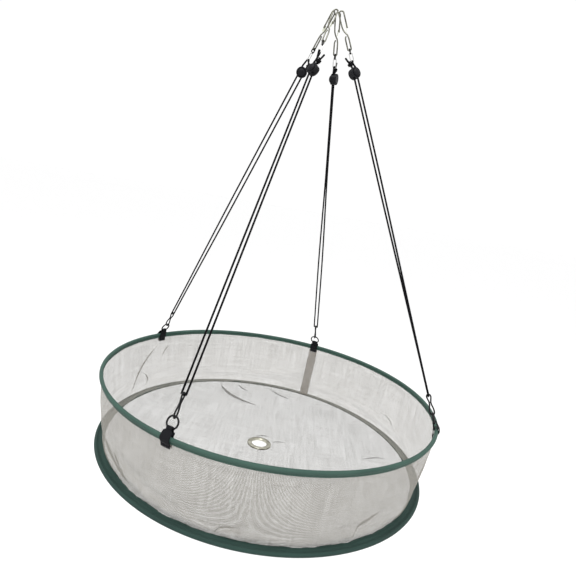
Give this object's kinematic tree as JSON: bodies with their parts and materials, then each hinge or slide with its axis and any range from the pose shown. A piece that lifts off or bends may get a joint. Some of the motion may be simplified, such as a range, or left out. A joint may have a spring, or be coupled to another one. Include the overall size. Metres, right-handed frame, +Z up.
{
  "type": "hanging mesh seed catcher tray",
  "caption": "Round two-hoop mesh tray with a grommeted mesh floor, hung from doubled adjustable cords with cord locks, links and snap hooks that meet at one point above it.",
  "frame": {"origin": "the point that the hooks hang from, on the tray's vertical axis", "axes": "+Z up; the hanger named back is 17.5 degrees from +Y towards +X, and -Y faces the side called front"},
  "size_m": [0.7596, 0.7596, 0.9732],
  "materials": {
    "binding_tape": "dark green woven polyester binding tape",
    "mesh_fabric": "fine light grey polyester mesh, see-through",
    "webbing": "black polypropylene webbing",
    "cord": "black round braided cord",
    "black_plastic": "moulded black plastic",
    "blackened_steel": "black oxide steel wire, slightly glossy",
    "bright_steel": "zinc plated spring wire, warm silver",
    "gate_steel": "pale plated strip",
    "plated_steel": "bright nickel plate",
    "spring_steel": "plain spring steel"
  },
  "bodies": {
    "tray_top": {"top_hoop_wire": "spring_steel", "top_hoop_ferrule": "spring_steel", "top_binding": "binding_tape", "side_mesh": "mesh_fabric", "side_seam_strip": "mesh_fabric", "front_webbing_tab": "webbing", "left_webbing_tab": "webbing", "back_webbing_tab": "webbing", "right_webbing_tab": "webbing"},
    "tray_bottom": {"bottom_hoop_wire": "spring_steel", "bottom_hoop_ferrule": "spring_steel", "bottom_binding": "binding_tape", "floor_mesh": "mesh_fabric", "grommet_eyelet": "plated_steel", "grommet_washer": "plated_steel"},
    "front_ring": {"front_tab_ring": "blackened_steel"},
    "front_lower_link": {"front_lower_link": "blackened_steel"},
    "front_cord": {"front_cord": "cord"},
    "front_lock": {"front_lock_body": "black_plastic", "front_lock_spring": "spring_steel"},
    "front_button": {"front_lock_button": "black_plastic"},
    "front_upper_link": {"front_upper_link": "bright_steel"},
    "front_black_link": {"front_black_link": "blackened_steel"},
    "front_hook": {"front_snap_hook": "bright_steel"},
    "front_gate": {"front_hook_gate": "gate_steel"},
    "left_ring": {"left_tab_ring": "blackened_steel"},
    "left_lower_link": {"left_lower_link": "blackened_steel"},
    "left_cord": {"left_cord": "cord"},
    "left_lock": {"left_lock_body": "black_plastic", "left_lock_spring": "spring_steel"},
    "left_button": {"left_lock_button": "black_plastic"},
    "left_upper_link": {"left_upper_link": "bright_steel"},
    "left_black_link": {"left_black_link": "blackened_steel"},
    "left_hook": {"left_snap_hook": "bright_steel"},
    "left_gate": {"left_hook_gate": "gate_steel"},
    "back_ring": {"back_tab_ring": "blackened_steel"},
    "back_lower_link": {"back_lower_link": "blackened_steel"},
    "back_cord": {"back_cord": "cord"},
    "back_lock": {"back_lock_body": "black_plastic", "back_lock_spring": "spring_steel"},
    "back_button": {"back_lock_button": "black_plastic"},
    "back_upper_link": {"back_upper_link": "bright_steel"},
    "back_black_link": {"back_black_link": "blackened_steel"},
    "back_hook": {"back_snap_hook": "bright_steel"},
    "back_gate": {"back_hook_gate": "gate_steel"},
    "right_ring": {"right_tab_ring": "blackened_steel"},
    "right_lower_link": {"right_lower_link": "blackened_steel"},
    "right_cord": {"right_cord": "cord"},
    "right_lock": {"right_lock_body": "black_plastic", "right_lock_spring": "spring_steel"},
    "right_button": {"right_lock_button": "black_plastic"},
    "right_upper_link": {"right_upper_link": "bright_steel"},
    "right_black_link": {"right_black_link": "blackened_steel"},
    "right_hook": {"right_snap_hook": "bright_steel"},
    "right_gate": {"right_hook_gate": "gate_steel"}
  },
  "joints": [
    {"name": "tray_collapse", "type": "slide", "parent": "tray_top", "child": "tray_bottom", "axis": [0, 0, 1], "range_m": [0, 0.12], "deforming": ["side_mesh", "side_seam_strip"]},
    {"name": "front_ring_swing", "type": "hinge", "parent": "tray_top", "child": "front_ring", "pos_m": [-0.14973, -0.33789, -0.79389], "axis": [0.9143, -0.4051, 0], "range_deg": [0, 75], "stiffness_Nm_per_rad": 0.02, "springref_deg": 114.59},
    {"name": "front_lower_link_swing", "type": "hinge", "parent": "front_ring", "child": "front_lower_link", "pos_m": [-0.14609, -0.32966, -0.77415], "axis": [0.9143, -0.4051, 0], "range_deg": [0, 60], "stiffness_Nm_per_rad": 0.0192, "springref_deg": 114.59},
    {"name": "front_cord_swing", "type": "hinge", "parent": "front_lower_link", "child": "front_cord", "pos_m": [-0.13991, -0.31572, -0.74066], "axis": [0.9143, -0.4051, 0], "range_deg": [0, 60], "stiffness_Nm_per_rad": 0.018, "springref_deg": 114.59},
    {"name": "front_lock_slide", "type": "slide", "parent": "front_cord", "child": "front_lock", "axis": [0.1679, 0.3789, 0.9101], "range_m": [-0.1, 0]},
    {"name": "front_button_press", "type": "slide", "parent": "front_lock", "child": "front_button", "axis": [0.6064, 0.6881, -0.3984], "range_m": [0, 0.0025], "stiffness_N_per_m": 200, "springref_m": -0.005, "deforming": ["front_lock_spring"]},
    {"name": "front_upper_link_swing", "type": "hinge", "parent": "front_cord", "child": "front_upper_link", "pos_m": [-0.02083, -0.04701, -0.09533], "axis": [0.9143, -0.4051, 0], "range_deg": [0, 45]},
    {"name": "front_black_link_swing", "type": "hinge", "parent": "front_upper_link", "child": "front_black_link", "pos_m": [-0.01744, -0.03936, -0.07695], "axis": [0.9143, -0.4051, 0], "range_deg": [0, 45]},
    {"name": "front_hook_swing", "type": "hinge", "parent": "front_black_link", "child": "front_hook", "pos_m": [-0.01663, -0.03754, -0.07258], "axis": [0.9143, -0.4051, 0], "range_deg": [0, 45]},
    {"name": "front_gate_open", "type": "hinge", "parent": "front_hook", "child": "front_gate", "pos_m": [-0.0103, -0.02325, -0.03827], "axis": [-0.3687, -0.832, 0.4145], "range_deg": [0, 20], "stiffness_Nm_per_rad": 0.0005, "springref_deg": -28.65},
    {"name": "left_ring_swing", "type": "hinge", "parent": "tray_top", "child": "left_ring", "pos_m": [-0.31342, 0.19584, -0.79389], "axis": [-0.5299, -0.848, 0], "range_deg": [0, 75], "stiffness_Nm_per_rad": 0.02, "springref_deg": 114.59},
    {"name": "left_lower_link_swing", "type": "hinge", "parent": "left_ring", "child": "left_lower_link", "pos_m": [-0.30579, 0.19108, -0.77415], "axis": [-0.5299, -0.848, 0], "range_deg": [0, 60], "stiffness_Nm_per_rad": 0.0192, "springref_deg": 114.59},
    {"name": "left_cord_swing", "type": "hinge", "parent": "left_lower_link", "child": "left_cord", "pos_m": [-0.29285, 0.183, -0.74066], "axis": [-0.5299, -0.848, 0], "range_deg": [0, 60], "stiffness_Nm_per_rad": 0.018, "springref_deg": 114.59},
    {"name": "left_lock_slide", "type": "slide", "parent": "left_cord", "child": "left_lock", "axis": [0.3515, -0.2196, 0.9101], "range_m": [-0.1, 0]},
    {"name": "left_button_press", "type": "slide", "parent": "left_lock", "child": "left_button", "axis": [0.0404, 0.9747, 0.2196], "range_m": [0, 0.0025], "stiffness_N_per_m": 200, "springref_m": -0.005, "deforming": ["left_lock_spring"]},
    {"name": "left_upper_link_swing", "type": "hinge", "parent": "left_cord", "child": "left_upper_link", "pos_m": [-0.04361, 0.02725, -0.09533], "axis": [-0.5299, -0.848, 0], "range_deg": [0, 45]},
    {"name": "left_black_link_swing", "type": "hinge", "parent": "left_upper_link", "child": "left_black_link", "pos_m": [-0.03651, 0.02281, -0.07695], "axis": [-0.5299, -0.848, 0], "range_deg": [0, 45]},
    {"name": "left_hook_swing", "type": "hinge", "parent": "left_black_link", "child": "left_hook", "pos_m": [-0.03482, 0.02176, -0.07258], "axis": [-0.5299, -0.848, 0], "range_deg": [0, 45]},
    {"name": "left_gate_open", "type": "hinge", "parent": "left_hook", "child": "left_gate", "pos_m": [-0.02157, 0.01348, -0.03827], "axis": [-0.7718, 0.4823, 0.4145], "range_deg": [0, 20], "stiffness_Nm_per_rad": 0.0005, "springref_deg": -28.65},
    {"name": "back_ring_swing", "type": "hinge", "parent": "tray_top", "child": "back_ring", "pos_m": [0.11113, 0.35247, -0.79389], "axis": [-0.9537, 0.3007, 0], "range_deg": [0, 75], "stiffness_Nm_per_rad": 0.02, "springref_deg": 114.59},
    {"name": "back_lower_link_swing", "type": "hinge", "parent": "back_ring", "child": "back_lower_link", "pos_m": [0.10843, 0.34389, -0.77415], "axis": [-0.9537, 0.3007, 0], "range_deg": [0, 60], "stiffness_Nm_per_rad": 0.0192, "springref_deg": 114.59},
    {"name": "back_cord_swing", "type": "hinge", "parent": "back_lower_link", "child": "back_cord", "pos_m": [0.10384, 0.32935, -0.74066], "axis": [-0.9537, 0.3007, 0], "range_deg": [0, 60], "stiffness_Nm_per_rad": 0.018, "springref_deg": 114.59},
    {"name": "back_lock_slide", "type": "slide", "parent": "back_cord", "child": "back_lock", "axis": [-0.1246, -0.3953, 0.9101], "range_m": [-0.1, 0]},
    {"name": "back_button_press", "type": "slide", "parent": "back_lock", "child": "back_button", "axis": [0.9537, -0.3007, 0], "range_m": [0, 0.0025], "stiffness_N_per_m": 200, "springref_m": -0.005, "deforming": ["back_lock_spring"]},
    {"name": "back_upper_link_swing", "type": "hinge", "parent": "back_cord", "child": "back_upper_link", "pos_m": [0.01546, 0.04904, -0.09533], "axis": [-0.9537, 0.3007, 0], "range_deg": [0, 45]},
    {"name": "back_black_link_swing", "type": "hinge", "parent": "back_upper_link", "child": "back_black_link", "pos_m": [0.01294, 0.04106, -0.07695], "axis": [-0.9537, 0.3007, 0], "range_deg": [0, 45]},
    {"name": "back_hook_swing", "type": "hinge", "parent": "back_black_link", "child": "back_hook", "pos_m": [0.01235, 0.03916, -0.07258], "axis": [-0.9537, 0.3007, 0], "range_deg": [0, 45]},
    {"name": "back_gate_open", "type": "hinge", "parent": "back_hook", "child": "back_gate", "pos_m": [0.00765, 0.02425, -0.03827], "axis": [-0.2737, -0.8679, -0.4145], "range_deg": [0, 20], "stiffness_Nm_per_rad": 0.0005, "springref_deg": -28.65},
    {"name": "right_ring_swing", "type": "hinge", "parent": "tray_top", "child": "right_ring", "pos_m": [0.35561, -0.10063, -0.79389], "axis": [0.2723, 0.9622, 0], "range_deg": [0, 75], "stiffness_Nm_per_rad": 0.02, "springref_deg": 114.59},
    {"name": "right_lower_link_swing", "type": "hinge", "parent": "right_ring", "child": "right_lower_link", "pos_m": [0.34696, -0.09818, -0.77415], "axis": [0.2723, 0.9622, 0], "range_deg": [0, 60], "stiffness_Nm_per_rad": 0.0192, "springref_deg": 114.59},
    {"name": "right_cord_swing", "type": "hinge", "parent": "right_lower_link", "child": "right_cord", "pos_m": [0.33228, -0.09403, -0.74066], "axis": [0.2723, 0.9622, 0], "range_deg": [0, 60], "stiffness_Nm_per_rad": 0.018, "springref_deg": 114.59},
    {"name": "right_lock_slide", "type": "slide", "parent": "right_cord", "child": "right_lock", "axis": [-0.3988, 0.1129, 0.9101], "range_m": [-0.1, 0]},
    {"name": "right_button_press", "type": "slide", "parent": "right_lock", "child": "right_button", "axis": [-0.4958, 0.8083, -0.3175], "range_m": [0, 0.0025], "stiffness_N_per_m": 200, "springref_m": -0.005, "deforming": ["right_lock_spring"]},
    {"name": "right_upper_link_swing", "type": "hinge", "parent": "right_cord", "child": "right_upper_link", "pos_m": [0.04828, -0.01366, -0.0926], "axis": [0.2723, 0.9622, 0], "range_deg": [0, 45]},
    {"name": "right_black_link_swing", "type": "hinge", "parent": "right_upper_link", "child": "right_black_link", "pos_m": [0.0423, -0.01197, -0.07895], "axis": [0.2723, 0.9622, 0], "range_deg": [0, 45]},
    {"name": "right_hook_swing", "type": "hinge", "parent": "right_black_link", "child": "right_hook", "pos_m": [0.03835, -0.01085, -0.06994], "axis": [0.2723, 0.9622, 0], "range_deg": [0, 45]},
    {"name": "right_gate_open", "type": "hinge", "parent": "right_hook", "child": "right_gate", "pos_m": [0.02447, -0.00692, -0.03827], "axis": [-0.2723, -0.9622, 0], "range_deg": [0, 20], "stiffness_Nm_per_rad": 0.0005, "springref_deg": -28.65}
  ]
}
